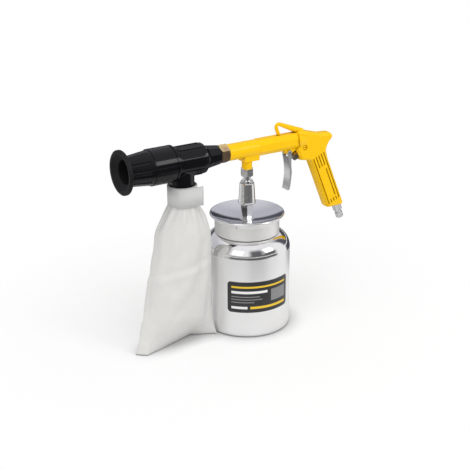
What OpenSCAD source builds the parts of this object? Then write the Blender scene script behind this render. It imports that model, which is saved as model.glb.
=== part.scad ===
// Suction-feed spot blasting gun: media pot, quick coupler, pistol gun, recovery head and cloth bag.
// Millimetres, +Z up. The origin is the centre of the pot's foot and the muzzle points along -X.

/* [Pot] */
// Outer diameter of the straight side
pot_d = 102; // [94:1:110]
// Height of the straight side
pot_side_h = 98; // [80:1:120]
// Radius of the rounded shoulder
shoulder_r = 19; // [17:0.5:21]
// Radius of the rounded foot
foot_r = 4; // [2:0.5:6]
// Wall of the spun pot
pot_wall = 1.8; // [1.2:0.1:2.4]
// Outer diameter of the neck
neck_d = 72; // [69:0.5:74]
// Height of the neck's mouth above the straight side
neck_h = 32; // [29:0.5:38]

/* [Lid] */
// Wall of the screw skirt
skirt_wall = 2; // [1.6:0.1:2.6]
// Radial gap between skirt and neck
skirt_gap = 0.3; // [0.2:0.05:0.5]
// Height of the skirt's edge above the shoulder
skirt_clear = 0.6; // [0.4:0.1:1.5]
// Diameter of the flared rim
rim_d = 88.4; // [84:0.2:94]
// Height of the rim above the neck's mouth
rim_h = 10.6; // [9.5:0.1:13]
// Thickness of the rim's round edge
rim_t = 3; // [2:0.1:4]
// Depth of the dished top
dish_depth = 8.6; // [7:0.1:9.4]
// Wall of the dished top
lid_wall = 2.2; // [1.6:0.1:3]
// Diameter of the flat seat under the coupler
seat_d = 18; // [18:0.5:24]
// Height of that seat above the dish
seat_h = 0.5; // [0.4:0.1:1]
// Diameter of the vent holes
vent_d = 1.8; // [1:0.1:2.5]
// Thickness of the rubber gasket
gasket_t = 1.5; // [1:0.1:2.5]
// Distance of the gasket's edges from the neck's edges
gasket_inset = 0.2; // [0:0.05:0.4]

/* [Quick coupler] */
// Diameter of the threaded stem through the lid
stem_d = 11; // [10:0.1:12]
// Clearance of parts that are screwed or pressed together
fit_gap = 0.05; // [0.02:0.01:0.1]
// Length of stem below its lock nut
stem_tail = 5; // [4:0.5:8]
// Width over flats of the lock nut
lock_af = 17; // [16:0.5:20]
// Height of the lock nut
lock_h = 5; // [4:0.5:7]
// Diameter over corners at the foot of the tapered hexagon
base_foot_d = 11; // [10.6:0.1:12]
// Diameter over corners at the top of the tapered hexagon
base_top_d = 16.6; // [15.4:0.1:17]
// Height of the tapered hexagon
base_h = 14.5; // [12:0.5:18]
// Height of the straight hexagon that the sleeve slides over
base_rim_h = 4; // [3.8:0.1:5]
// Outer diameter of the socket
socket_d = 13.6; // [13.2:0.1:14]
// Height of the socket above the hexagon
socket_h = 28; // [27.5:0.5:34]
// Diameter of the plug that turns in the socket
plug_d = 9.5; // [9.2:0.1:9.8]
// Diameter of the media passage through coupler, plug and stub
media_d = 5.6; // [4:0.2:6]
// Outer diameter of the sleeve's foot
sleeve_foot_d = 21; // [20.4:0.1:23]
// Outer diameter of the sleeve's top
sleeve_top_d = 17.2; // [16.6:0.1:18.4]
// Length of the sleeve
sleeve_h = 26; // [25:0.5:27]
// Length of the sleeve's foot that covers the hexagon at rest
sleeve_cover = 0.7; // [0.5:0.1:1.5]
// Travel of the sleeve when it is pulled down
sleeve_travel = 3.5; // [2.5:0.1:3.6]
// Running gap between sleeve and hexagon, and round the balls
sleeve_gap = 0.6; // [0.4:0.05:0.7]
// Diameter of a locking ball
ball_d = 2.5; // [2:0.1:2.8]
// Number of locking balls
ball_n = 6; // [4:1:8]
// Distance of the balls below the socket's end
ball_drop = 8; // [7.5:0.1:9]
// Wire of the sleeve spring
sleeve_wire = 0.9; // [0.6:0.1:1]
// Thickness of the retaining clip
clip_t = 1.2; // [0.8:0.1:1.6]
// Distance of the clip below the socket's end
clip_drop = 0.9; // [0.6:0.1:1.4]

/* [Suction pipe] */
// Outer diameter of the pickup tube
pickup_d = 8; // [7:0.1:9]
// Wall of the pickup tube
pickup_wall = 1; // [0.6:0.1:1.4]
// Distance of the tube's end from the pot's floor
pickup_clear = 10; // [6:1:20]
// Angle of the slanted tube end
pickup_cut = 35; // [20:1:45]

/* [Plug] */
// Visible neck between the socket and the plug's hexagon
plug_neck = 5.5; // [4:0.5:8]
// Width over flats of the plug's hexagon
plug_af = 13.8; // [13:0.1:16]
// Height of the plug's hexagon
plug_hex_h = 9.6; // [8:0.1:12]
// Length of the plug inside the socket
plug_tail = 21; // [19:0.5:23]

/* [Tee] */
// Diameter of the suction stub
stub_d = 12.2; // [12:0.1:13]
// Visible length of the stub
stub_show = 8.9; // [6:0.1:12]
// Depth of the stub's thread in the plug
stub_thread = 7; // [5:0.5:8]
// Diameter of the tee's tube
tee_d = 19.4; // [18:0.2:22]
// Front end of the tee ahead of the pot's axis
tee_front = 28; // [24:0.5:34]
// Rear end of the tee behind the pot's axis
tee_rear = 13; // [11:0.5:16]
// Drop of the block's underside below the barrel's axis
block_drop = 13.7; // [12:0.1:16]
// Front of the block ahead of the pot's axis
block_front = 7; // [6.6:0.1:12]
// Width of the block
block_w = 14; // [13:0.2:17]
// Diameter of the mixing chamber
chamber_d = 10.2; // [9:0.1:11]
// Diameter of the threaded spigots at the tee's ends
spigot_d = 14.6; // [13.5:0.1:15.5]
// Length of the front spigot
spigot_l = 8; // [6:0.5:10]

/* [Nozzle] */
// Width over flats of the nozzle nut
nut_af = 19.4; // [18.4:0.1:22]
// Length of the nozzle nut
nut_l = 11.5; // [10.8:0.1:14]
// Thickness of the nozzle's clamping flange
nozzle_flange_t = 1; // [0.8:0.1:1.5]
// Bore of the blast nozzle
nozzle_bore = 5; // [3:0.5:7]
// Length of nozzle in front of the nut
nozzle_reach = 78; // [60:1:80]
// Depth of the nozzle's tail in the tee
nozzle_tail = 20; // [14:1:24]
// Diameter of the air jet's tip
jet_tip_d = 4.4; // [3.4:0.2:5]
// Bore of the air jet
jet_bore = 1.8; // [1.2:0.1:2.4]

/* [Gun body] */
// Width over flats of the eight-sided barrel
barrel_af = 19.2; // [18.4:0.1:21]
// Bore of the barrel
barrel_bore = 8; // [7:0.2:9]
// Depth of the barrel's threaded end in the tee
barrel_thread = 9; // [7:0.5:11]
// Front face of the body behind the pot's axis
body_front = 67; // [64:0.5:72]
// Rise of the body's top above the barrel's axis at its front
body_rise = 12.6; // [12:0.1:14]
// Rear end of the tail behind the body's front
tail_l = 54; // [50:0.5:58]
// Rise of the tail above the barrel's axis
tail_rise = 3.6; // [2:0.1:5]
// Depth of the tail down to the web of the hand
tail_t = 12; // [11:0.1:13]
// Length of the tail behind the web of the hand
tail_over = 10.6; // [9:0.1:12]
// Drop of the web of the hand below the barrel's axis
web_drop = 18; // [16:0.5:20]
// Thickness of body and handle
handle_w = 17; // [15.5:0.5:20]
// Depth of the handle from front to back
handle_depth = 23.6; // [21:0.2:27]
// Lean of the handle
handle_tilt = 22.5; // [20:0.5:25]
// Middle of the handle behind the body's front, at the height of the chin
handle_set = 33.4; // [32:0.1:36]
// Drop of the chin below the barrel's axis
chin_drop = 28; // [26:0.5:30]
// Drop of the handle's foot below the barrel's axis
handle_drop = 93; // [80:1:104]
// In-plane radius of the casting's edges
edge_r = 4; // [3:0.1:4.2]
// Sideways radius of the casting's edges
side_r = 6.5; // [5:0.5:7]
// Fillet in the casting's inner corners
web_fillet = 5; // [2:0.5:8]
// Large diameter of the boss round the barrel's root
boss_d = 23.4; // [22.6:0.2:25]
// Length of that tapered boss
boss_l = 31; // [24:1:38]
// Radius of the boss's front edge in the side view
cheek_r = 16; // [14:0.5:20]
// Rise of that edge's middle above the barrel's axis
cheek_rise = 2; // [0:0.5:4]
// Radius of the hanging eye's rod
eye_r = 2.1; // [1.8:0.1:2.4]
// Radius of the rod where it runs into the body
eye_root_r = 4.2; // [3.6:0.1:4.6]
// Front of the eye's rod, at its middle, ahead of the body's front
eye_reach = 26.4; // [24:0.2:28]
// Rise of the eye's top above the barrel's axis
eye_rise = 25; // [23:0.5:26]
// Bend of the eye's rod at its corner
eye_bend = 3.4; // [2.5:0.1:4.5]
// Lean of the eye's front leg
eye_lean = 22; // [16:1:26]
// Slope of the eye's rod down to the body
eye_slope = 23.5; // [22:0.5:25]
// Width of the grip's grooves
groove_w = 1.4; // [0.8:0.1:1.8]
// Depth of the grip's grooves
groove_depth = 1.3; // [0.8:0.1:1.6]
// Distance between the grip's grooves
groove_step = 3.95; // [3.6:0.05:4.1]
// Distance of the middle groove ahead of the handle's middle
groove_set = 0.8; // [0:0.1:1.2]
// Top of the grip's grooves above the chin
grip_rise = 6.2; // [5:0.1:7]
// Distance of the grip's grooves from the handle's foot
grip_margin = 10; // [9:0.5:14]
// Length of the grip's upper slots
grip_slot_l = 15; // [12:0.5:17]
// Length of the grip's lower slots
grip_foot_l = 4; // [3:0.5:5]
// Distance of the grip's inner line from the slots at its ends
grip_gap = 6.5; // [5:0.5:8]
// Distance of the barrel's end behind the body's front
root_set = 6; // [4:0.5:7]
// Distance of the air way's end behind the body's front
air_set = 22; // [20:0.5:24]

/* [Valve and trigger] */
// Slope of the valve's axis
valve_tilt = 25; // [20:1:30]
// Drop of the valve face's middle below the barrel's axis
valve_drop = 17.5; // [17:0.1:19]
// Distance of the valve face's middle behind the body's front
valve_set = 2; // [1:0.1:4]
// Diameter of the valve boss
valve_boss_d = 15; // [14:0.2:17]
// Diameter of the valve's bore
valve_bore = 9; // [8:0.1:9.4]
// Depth of the valve's bore
valve_depth = 24; // [22:0.5:28]
// Width over flats of the valve cap
cap_af = 12; // [11:0.1:14]
// Height of the valve cap's hexagon
cap_h = 5; // [4:0.1:6]
// Room for a spanner round the valve cap
cap_room = 0.4; // [0.3:0.1:1]
// Length of the valve cap's thread
cap_thread = 6; // [4:0.5:8]
// Diameter of the valve stem
stem_pin_d = 3.2; // [2.6:0.1:3.8]
// Gap between the stem's tip and the trigger at rest
trigger_gap = 0.3; // [0.2:0.05:0.5]
// Wire of the valve spring
valve_wire = 0.8; // [0.5:0.1:1]
// Trigger pivot ahead of the body's front
pivot_front = 10.5; // [9:0.5:13]
// Trigger pivot below the barrel's axis
pivot_drop = 12.8; // [12.6:0.1:13.6]
// Diameter of the pivot pin
pivot_d = 3; // [2.4:0.1:3.4]
// Width of the lug that carries the pivot
lug_w = 8.6; // [7.6:0.1:9.4]
// Sheet thickness of the trigger
trigger_t = 1.4; // [1:0.1:1.8]
// Side gap between trigger and lug
trigger_side = 0.3; // [0.2:0.05:0.5]
// Length of the trigger below its pivot
trigger_l = 46; // [40:1:52]
// Radius of the finger curve
finger_r = 82; // [70:1:140]
// Distance of the finger curve's middle behind the pivot
finger_set = 0.3; // [-0.5:0.1:1]
// Depth of the trigger's cheeks at the finger
cheek_depth = 3.4; // [3.2:0.1:4.4]
// Diameter of the side screw's head
screw_d = 5; // [4:0.1:6]
// Room round the side screw's head
screw_room = 0.8; // [0.4:0.1:1.2]

/* [Air inlet] */
// Lean of the inlet nipple
inlet_tilt = 20; // [14:1:24]
// Distance of the inlet behind the handle's middle
inlet_set = 5; // [3:0.5:5.5]
// Diameter of the nipple's collar
inlet_collar_d = 11; // [10.6:0.1:12]
// Length of the nipple's collar
inlet_collar_l = 9.5; // [8:0.5:11]
// Diameter of the nipple's thread
inlet_thread_d = 9.6; // [9:0.1:10.4]
// Length of the nipple's thread
inlet_thread_l = 9; // [7:0.5:11]
// Diameter of the nipple's groove
inlet_neck_d = 7.2; // [6.6:0.1:8]
// Length of the nipple's groove
inlet_neck_l = 4; // [3:0.5:6]
// Diameter of the nipple's plug end
inlet_plug_d = 9.2; // [8.8:0.1:10]
// Length of the nipple's plug end
inlet_plug_l = 6.5; // [5:0.5:8]
// Bore of the nipple
inlet_bore = 4.6; // [3.6:0.2:5.4]

/* [Recovery head] */
// Gap between nut and head
head_gap = 0.8; // [0.4:0.1:0.9]
// Diameter over corners of the collar's rear end
collar_rear_d = 22.6; // [21:0.2:25]
// Diameter over corners of the collar's front end
collar_front_d = 27.2; // [25:0.2:30]
// Length of the collar
collar_l = 16; // [13:0.5:20]
// Length of the sloping shoulder
head_slope_l = 5; // [4:0.5:8]
// Diameter of the rear housing
housing_d = 35; // [33.6:0.2:36.4]
// Length of the rear housing
housing_l = 37; // [33:0.5:44]
// Wall of the rear housing
housing_wall = 2.4; // [1.8:0.1:3]
// Length of the joint between housing and sleeve
head_joint_l = 12; // [8:0.5:14]
// Height of the raised grip pads
pad_h = 0.5; // [0.3:0.1:1]
// Number of grip pads and of flutes
pad_n = 10; // [8:1:12]
// Diameter of the smooth sleeve
front_sleeve_d = 41.6; // [40:0.2:46]
// Length of the smooth sleeve
front_sleeve_l = 31; // [26:0.5:36]
// Radius of the cone's flutes
flute_r = 2.5; // [1.5:0.1:4]
// Depth of the cone's flutes
flute_depth = 0.7; // [0.4:0.1:0.9]
// Diameter of the cone's front
cone_d = 33.6; // [33.4:0.1:36]
// Length of the cone
cone_l = 27; // [22:0.5:32]
// Diameter of the rubber mouth
mouth_d = 50.2; // [46:0.2:56]
// Diameter of the mouth's hole
mouth_hole_d = 27.4; // [25:0.2:28]
// Thickness of the mouth's lip
lip_t = 4.2; // [3:0.1:6]
// Length of the mouth behind the lip
mouth_back = 3; // [2:0.1:5]
// Depth of the mouth's neck in the cone
mouth_neck_l = 12; // [8:0.5:16]
// Wall of the mouth's neck
mouth_wall = 1.5; // [1.2:0.1:1.6]
// Distance of the branch from the housing's front end
branch_set = 11.5; // [10:0.5:16]
// Outer diameter of the branch
branch_d = 28; // [25:0.5:30]
// Wall of the branch
branch_wall = 2; // [1.5:0.1:3]

/* [Bag] */
// Gap between the bag's neck and the branch
bag_gap = 0.3; // [0.2:0.05:0.4]
// Thickness of the bag's neck
neck_cloth = 1.6; // [1:0.1:2.5]
// Length of branch that shows between head and strap
branch_show = 9; // [6:0.5:14]
// Height of the strap
strap_h = 22; // [16:0.5:28]
// Thickness of the strap
strap_t = 1.6; // [1:0.1:2.5]
// Length of the strap's loose end from where it leaves the band
strap_tail = 16.5; // [12:0.5:24]
// Width of the bag's foot
bag_w = 105; // [94:1:106]
// Least distance between the bag and the pot's side
bag_clear = 2.5; // [1:0.1:8]
// Half thickness of the bag at its fullest
bag_half_t = 19; // [14:0.5:24]
// Sharpness of the bag's side seams
seam_power = 1.25; // [1:0.05:1.6]
// Lean of the right seam to the front
bag_lean = 6; // [0:0.5:9]
// Lean of the foot's right corner to the front
foot_lean = 14; // [12:0.5:18]
// Reach of the foot's right corner past the bag's side
foot_kick = 2.5; // [0:0.1:2.5]
// Lean of the foot's left tip to the front
tip_lean = 19; // [12:0.5:22]
// Depth of the foot's tuck behind the middle
tuck_set = 1.4; // [-6:0.2:3]
// Height at which the foot's wave has gone
foot_rise = 36; // [24:1:50]

/* [Hidden] */
$fn = 64;
eps = 0.01;
big = 400;

// Radii and heights of the pot and its lid
pot_r = pot_d / 2;
neck_r = neck_d / 2;
neck_ri = neck_r - pot_wall;
neck_z = pot_side_h + neck_h;
shoulder_c = pot_r - shoulder_r;
skirt_ri = neck_r + skirt_gap;
skirt_ro = skirt_ri + skirt_wall;
skirt_z = pot_side_h + sqrt(pow(shoulder_r, 2) - pow(max(0, skirt_ri - shoulder_c), 2)) + skirt_clear;
rim_r = rim_d / 2;
rim_z = neck_z + rim_h;
dish_z = rim_z - dish_depth;
dish_edge = rim_r - rim_t / 2;
dish_r = (pow(dish_edge, 2) + pow(dish_depth, 2)) / (2 * dish_depth);
flare_r = rim_r - skirt_ro;
lid_seat_z = neck_z + gasket_t;

// Heights up the coupler to the barrel's axis
base_z = dish_z + seat_h;
base_top_z = base_z + base_h;
base_rim_z = base_top_z + base_rim_h;
socket_z = base_rim_z + socket_h;
socket_r = socket_d / 2;
plug_r = plug_d / 2;
plug_hex_z = socket_z + plug_neck;
plug_top_z = plug_hex_z + plug_hex_h;
block_z = plug_top_z + stub_show;
barrel_z = block_z + block_drop;
lid_under_z = dish_z - lid_wall;
stem_r = stem_d / 2;
stem_z = lid_under_z - lock_h - stem_tail;
chamber_r = base_top_d / 2 + sleeve_gap;
sleeve_z = base_rim_z - sleeve_cover;
sleeve_top_z = sleeve_z + sleeve_h;
clip_z = socket_z - clip_drop - clip_t;
ball_z = socket_z - ball_drop;
ball_r = ball_d / 2;
recess_z = ball_z - ball_r + sleeve_travel;
guide_l = 3;
guide_z = ball_z - ball_r - guide_l;
oring_t = 1.1;
oring_room = oring_t + 0.2;
oring_z = socket_z - plug_tail + 2.5 * oring_room;
clip_depth = 0.55;
stub_thread_r = stub_d / 2 - 1;
tube_r = pickup_d / 2;

// Stations along the barrel, measured from the pot's axis
nut_x = -tee_front;
nut_front_x = nut_x - nut_l;
spigot_x = nut_x - spigot_l;
pivot_x = body_front - pivot_front;
pivot_z = barrel_z - pivot_drop;
valve_x = body_front + valve_set;
valve_z = barrel_z - valve_drop;
nozzle_r = chamber_d / 2 - fit_gap;

// Stations of the recovery head, each further forward along -X
head_x = nut_front_x - head_gap;
collar_x = head_x - collar_l;
housing_x = collar_x - head_slope_l;
sleeve_x = housing_x - housing_l;
cone_x = sleeve_x - front_sleeve_l;
mouth_x = cone_x - cone_l;
face_x = mouth_x - mouth_back - lip_t;
branch_x = sleeve_x + branch_set;
housing_r = housing_d / 2;
housing_ri = housing_r - housing_wall;
sleeve_ri = housing_r + fit_gap;
mouth_hole_r = mouth_hole_d / 2;
branch_r = branch_d / 2;

// Heights of the bag's neck and strap
strap_top_z = barrel_z - housing_r - pad_h - branch_show;
strap_z = strap_top_z - strap_h;
branch_lap = strap_h - 4;
branch_z = strap_top_z - branch_lap;
bag_neck_r = branch_r + bag_gap + neck_cloth;
strap_ri = bag_neck_r + bag_gap;
bag_right_x = -pot_r - bag_clear;

function mix(a, b, t) = a + (b - a) * t;

// Triangles that close a stack of rings of n points, with caps in strips from side to side
function skin_faces(rows, n) = let (top = (rows - 1) * n) concat(
    [for (j = [0:rows - 2], i = [0:n - 1]) [j * n + i, (j + 1) * n + i, (j + 1) * n + (i + 1) % n]],
    [for (j = [0:rows - 2], i = [0:n - 1]) [j * n + i, (j + 1) * n + (i + 1) % n, j * n + (i + 1) % n]],
    [for (i = [0:n / 2 - 2]) [i, i + 1, n - 1 - i]],
    [for (i = [1:n / 2 - 1]) [i, n - 1 - i, n - i]],
    [for (i = [0:n / 2 - 2]) [top + i, top + n - 1 - i, top + i + 1]],
    [for (i = [1:n / 2 - 1]) [top + i, top + n - i, top + n - 1 - i]]);

// Round wire wound on a cylinder, from z = 0 up to the free length
module coil(mean_r, wire, turns, length) {
    rows = turns * 12 + 1;
    sides = 6;
    climb = length - wire;
    points = [for (j = [0:rows - 1], k = [0:sides - 1])
        let (a = 30 * j, b = -360 * k / sides, r = mean_r + wire / 2 * cos(b))
        [r * cos(a), r * sin(a), wire / 2 + climb * j / (rows - 1) + wire / 2 * sin(b)]];
    polyhedron(points, skin_faces(rows, sides));
}

// Straight prism with a chamfered end, width over flats, axis +Z
module hex_prism(af, h, chamfer) {
    corner = af / 2 / cos(30);
    intersection() {
        cylinder(h = h, r = corner, $fn = 6);
        union() {
            translate([0, 0, -eps]) cylinder(h = chamfer + eps, r1 = corner - 2 * chamfer, r2 = corner);
            translate([0, 0, chamfer]) cylinder(h = h - 2 * chamfer, r = corner + eps);
            translate([0, 0, h - chamfer]) cylinder(h = chamfer + eps, r1 = corner, r2 = corner - 2 * chamfer);
        }
    }
}

// Round bar along +X from x0 to x1 on the barrel's axis
module bar(x0, x1, r) {
    translate([min(x0, x1), 0, barrel_z]) rotate([0, 90, 0]) cylinder(h = abs(x1 - x0), r = r);
}

// Cone along the barrel's axis from radius ra at xa to rb at xb, xa ahead of xb
module taper(xa, ra, xb, rb) {
    translate([xa, 0, barrel_z]) rotate([0, 90, 0]) cylinder(h = xb - xa, r1 = ra, r2 = rb);
}

// Profile drawn as (distance along +X, radius), turned round the barrel's axis
module turned() {
    translate([0, 0, barrel_z]) rotate([0, 90, 0]) rotate_extrude() mirror([1, -1]) children();
}

// Outline of the pot, thinner by inset all round
module pot_outline(inset) {
    r = pot_r - inset;
    foot = max(foot_r - inset, eps);
    difference() {
        union() {
            translate([0, inset + foot]) square([r, pot_side_h - inset - foot]);
            translate([0, inset]) square([r - foot, foot + eps]);
            translate([r - foot, inset + foot]) circle(foot);
            translate([0, pot_side_h - eps]) square([shoulder_c, shoulder_r - inset + eps]);
            translate([shoulder_c, pot_side_h]) circle(shoulder_r - inset);
            square([neck_r - inset, neck_z + inset]);
        }
        translate([-big, -big]) square([big, 2 * big]);
        translate([0, inset - big]) square([big, big]);
    }
}

module pot_body() {
    color("silver") rotate_extrude($fn = 96) difference() {
        pot_outline(0);
        pot_outline(pot_wall);
    }
}

// Skirt, flared rim and dished top in one turned section
module lid_section() {
    difference() {
        union() {
            translate([0, skirt_z]) square([skirt_ro, rim_z - skirt_z - rim_t / 2]);
            translate([0, rim_z - rim_t - flare_r]) square([rim_r - rim_t / 2, rim_t + flare_r]);
            translate([rim_r - rim_t / 2, rim_z - rim_t / 2]) circle(rim_t / 2);
        }
        translate([0, dish_z + dish_r]) intersection() {
            circle(dish_r, $fn = 256);
            translate([0, -dish_r]) square([rim_r, dish_depth]);
        }
        translate([rim_r, rim_z - rim_t - flare_r]) circle(flare_r);
        translate([0, skirt_z - eps]) square([skirt_ri, lid_seat_z - skirt_z + eps]);
        difference() {
            translate([0, skirt_z]) square([neck_ri - gasket_inset, rim_z - skirt_z]);
            translate([0, dish_z + dish_r]) circle(dish_r + lid_wall, $fn = 256);
        }
    }
    translate([0, dish_z - lid_wall / 2]) square([seat_d / 2, lid_wall / 2 + seat_h]);
}

module lid() {
    vent_turn = -141;
    top_vent_turn = 178;
    color("lightgray") difference() {
        rotate_extrude($fn = 96) lid_section();
        translate([0, 0, lid_under_z - 1]) cylinder(h = rim_h, r = stem_r + fit_gap);
        rotate([0, 0, vent_turn]) translate([neck_ri, 0, lid_seat_z + vent_d]) rotate([0, 90, 0])
            cylinder(h = rim_r, d = vent_d);
        rotate([0, 0, top_vent_turn]) translate([neck_ri * 0.75, 0, lid_under_z])
            cylinder(h = rim_h, d = vent_d);
    }
}

module lid_gasket() {
    color("dimgray") translate([0, 0, neck_z]) difference() {
        cylinder(h = gasket_t, r = neck_r - gasket_inset);
        translate([0, 0, -1]) cylinder(h = gasket_t + 2, r = neck_ri + gasket_inset);
    }
}

// Socket on a tapered hexagon, with a stem that passes through the lid
module coupler_body() {
    color("gainsboro") difference() {
        union() {
            translate([0, 0, stem_z]) cylinder(h = base_z - stem_z + eps, r = stem_r - eps);
            translate([0, 0, base_z]) cylinder(h = base_h, d1 = base_foot_d, d2 = base_top_d, $fn = 6);
            translate([0, 0, base_top_z]) cylinder(h = base_rim_h, d = base_top_d, $fn = 6);
            translate([0, 0, base_rim_z - eps]) cylinder(h = socket_h + eps, r = socket_r);
        }
        translate([0, 0, stem_z - 1]) cylinder(h = socket_z - stem_z + 2, d = media_d);
        translate([0, 0, stem_z - 1]) cylinder(h = stem_tail + 1, r = tube_r + fit_gap);
        translate([0, 0, socket_z - plug_tail - 1]) cylinder(h = plug_tail + 2, r = plug_r + fit_gap);
        translate([0, 0, oring_z - oring_room / 2]) cylinder(h = oring_room, r = plug_r + oring_room);
        translate([0, 0, clip_z - fit_gap]) difference() {
            cylinder(h = clip_t + 2 * fit_gap, r = socket_r + 1);
            translate([0, 0, -1]) cylinder(h = clip_t + 3, r = socket_r - clip_depth);
        }
        for (i = [0:ball_n - 1]) rotate([0, 0, 360 * i / ball_n]) translate([plug_r / 2, 0, ball_z])
            rotate([0, 90, 0]) cylinder(h = socket_r, r = ball_r + fit_gap);
    }
}

module coupler_lock_nut() {
    color("darkgray") translate([0, 0, lid_under_z - fit_gap]) mirror([0, 0, 1]) difference() {
        hex_prism(lock_af, lock_h, 0.6);
        translate([0, 0, -1]) cylinder(h = lock_h + 2, r = stem_r + fit_gap);
    }
}

module pickup_tube() {
    color("silver") translate([0, 0, pot_wall + pickup_clear]) difference() {
        cylinder(h = stem_z + stem_tail - pot_wall - pickup_clear - fit_gap, r = tube_r);
        translate([0, 0, -1]) cylinder(h = big, r = tube_r - pickup_wall);
        rotate([0, pickup_cut, 0]) translate([0, 0, -pickup_d]) cube([4 * pickup_d, 2 * pickup_d, 2 * pickup_d],
            center = true);
    }
}

module coupler_seal() {
    color("dimgray") translate([0, 0, oring_z]) rotate_extrude()
        translate([plug_r + fit_gap + oring_t / 2, 0]) circle(d = oring_t);
}

module lock_balls() {
    color("silver") for (i = [0:ball_n - 1]) rotate([0, 0, 360 * i / ball_n])
        translate([socket_r - ball_r, 0, ball_z]) sphere(r = ball_r);
}

module coupler_sleeve() {
    foot = 1.2;
    color("whitesmoke") difference() {
        rotate_extrude() polygon([
            [0, sleeve_z], [sleeve_foot_d / 2 - foot, sleeve_z], [sleeve_foot_d / 2, sleeve_z + foot],
            [sleeve_foot_d / 2, sleeve_z + 2 * foot], [sleeve_foot_d / 2 - foot / 2, sleeve_z + 2.5 * foot],
            [sleeve_top_d / 2, sleeve_top_z - foot / 2], [sleeve_top_d / 2 - foot / 2, sleeve_top_z],
            [0, sleeve_top_z]]);
        translate([0, 0, sleeve_z - 1]) cylinder(h = guide_z - sleeve_z + 1, r = chamber_r);
        translate([0, 0, sleeve_z - 1]) cylinder(h = sleeve_h + 2, r = socket_r + fit_gap);
        translate([0, 0, recess_z]) cylinder(h = sleeve_h, r = socket_r + sleeve_gap);
    }
}

module sleeve_spring() {
    seat = 0.2;
    spring_r = (socket_r + chamber_r) / 2;
    color("darkgray") translate([0, 0, base_rim_z + seat])
        coil(spring_r, sleeve_wire, 5, guide_z - base_rim_z - 2 * seat);
}

module sleeve_clip() {
    turn = 40;
    opening = 3;
    color("darkgray") translate([0, 0, clip_z]) difference() {
        cylinder(h = clip_t, r = socket_r + clip_depth);
        translate([0, 0, -1]) cylinder(h = clip_t + 2, r = socket_r - clip_depth + fit_gap);
        rotate([0, 0, turn]) translate([0, -opening / 2, -1]) cube([socket_d, opening, clip_t + 2]);
    }
}

// Plug with its ball groove below and the hexagon for the spanner above
module suction_plug() {
    groove = 1.6;
    color("gainsboro") difference() {
        union() {
            translate([0, 0, socket_z - plug_tail]) cylinder(h = plug_tail + plug_neck + eps, r = plug_r);
            translate([0, 0, plug_hex_z]) hex_prism(plug_af, plug_hex_h, 0.9);
        }
        translate([0, 0, socket_z - plug_tail - 1]) cylinder(h = big, d = media_d);
        translate([0, 0, plug_top_z - stub_thread]) cylinder(h = big, r = stub_thread_r + fit_gap);
        translate([0, 0, ball_z - groove]) difference() {
            cylinder(h = 2 * groove, r = plug_d);
            translate([0, 0, -1]) cylinder(h = 2 * groove + 2, r = socket_r - ball_d - fit_gap);
        }
    }
}

// Tube, block and stub of the mixing tee
module blast_tee() {
    color("gold") difference() {
        union() {
            bar(-tee_front, tee_rear, tee_d / 2);
            bar(spigot_x, -tee_front + 1, spigot_d / 2);
            translate([-block_front, -block_w / 2, block_z])
                cube([block_front + tee_rear, block_w, block_drop]);
            translate([0, 0, plug_top_z]) cylinder(h = barrel_z - plug_top_z, d = stub_d);
            translate([0, 0, plug_top_z - stub_thread + fit_gap]) cylinder(h = stub_thread, r = stub_thread_r);
        }
        bar(spigot_x - 1, tee_rear + 1, chamber_d / 2);
        bar(tee_rear - barrel_thread, tee_rear + 1, spigot_d / 2 + fit_gap);
        translate([0, 0, plug_top_z - stub_thread - 1])
            cylinder(h = barrel_z - plug_top_z + stub_thread, d = media_d);
    }
}

// Air jet screwed into the barrel's end, with its tip over the suction port
module air_jet() {
    root = tee_rear - barrel_thread;
    shank_r = barrel_bore / 2 - fit_gap;
    shank_l = 8;
    cone_h = 3;
    tip_l = 4;
    color("goldenrod") difference() {
        union() {
            bar(root, root + shank_l, shank_r);
            taper(root - cone_h, jet_tip_d / 2, root + eps, shank_r);
            bar(root - cone_h - tip_l, root - cone_h, jet_tip_d / 2);
        }
        bar(root - cone_h - tip_l - 1, root + shank_l + 1, jet_bore / 2);
    }
}

// Blast nozzle: a plain tube with the flange that the nut clamps
module blast_nozzle() {
    tip = 4;
    tip_in = 1.2;
    flare = 5;
    flare_edge = 0.6;
    x0 = nut_front_x - nozzle_reach;
    x1 = spigot_x + nozzle_tail;
    color("silver") difference() {
        union() {
            bar(x0 + tip, x1, nozzle_r);
            taper(x0, nozzle_r - tip_in, x0 + tip + eps, nozzle_r);
            bar(spigot_x - nozzle_flange_t, spigot_x, spigot_d / 2 - fit_gap);
        }
        bar(x0 - 1, x1 + 1, nozzle_bore / 2);
        taper(x1 - flare, nozzle_bore / 2, x1 + eps, nozzle_r - flare_edge);
    }
}

module nozzle_nut() {
    color("darkkhaki") difference() {
        translate([nut_x, 0, barrel_z]) rotate([0, -90, 0]) rotate([0, 0, 30]) hex_prism(nut_af, nut_l, 0.8);
        bar(nut_x + 1, spigot_x - nozzle_flange_t, spigot_d / 2 + fit_gap);
        bar(nut_front_x - 1, nut_x, chamber_d / 2);
    }
}

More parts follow.
